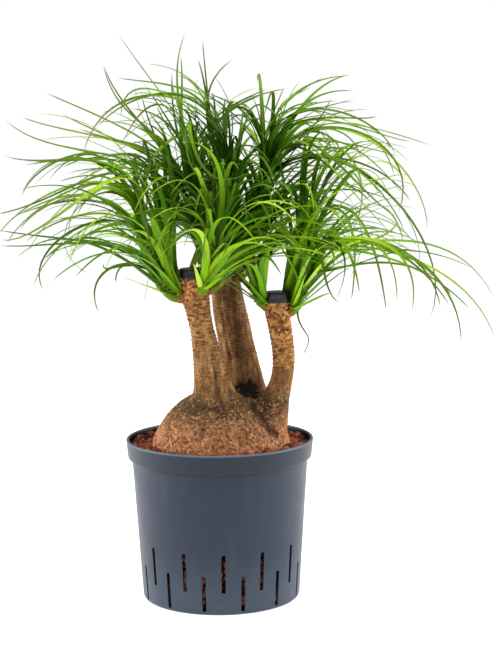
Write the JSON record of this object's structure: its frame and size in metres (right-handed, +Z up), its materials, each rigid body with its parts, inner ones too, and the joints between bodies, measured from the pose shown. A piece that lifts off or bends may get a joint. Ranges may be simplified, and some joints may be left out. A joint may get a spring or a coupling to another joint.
{
  "type": "potted ponytail palm",
  "caption": "Ponytail palm with sawn, wax-sealed trunks on one swollen base, arching leafy side shoots, in a slotted culture pot of clay granulate.",
  "frame": {"origin": "middle of the pot's underside, on the surface that it stands on", "axes": "+Z up along the pot's axis, the plant's front towards -Y, +X to the right seen from the front"},
  "size_m": [0.578, 0.3977, 0.662],
  "materials": {
    "pot_plastic": "blue-grey moulded plastic, matt",
    "fired_clay": "red-brown expanded clay pellets, rough",
    "bark": "tan cracked bark with ringed leaf scars, rough",
    "sealing_wax": "purple-black grafting wax, satin",
    "leaf": "green living leaf, satin, paler along its edges"
  },
  "bodies": {
    "root": {"culture_pot": "pot_plastic", "clay_granulate": "fired_clay", "trunk": "bark", "cut_seal_left": "sealing_wax", "cut_seal_middle": "sealing_wax", "cut_seal_right": "sealing_wax", "shoot_left_outer": "leaf", "shoot_left_front": "leaf", "shoot_left_inner": "leaf", "shoot_left_back": "leaf", "shoot_middle_left": "leaf", "shoot_middle_front": "leaf", "shoot_middle_right": "leaf", "shoot_middle_back": "leaf", "shoot_right_inner": "leaf", "shoot_right_outer": "leaf", "shoot_right_back": "leaf"}
  },
  "joints": []
}
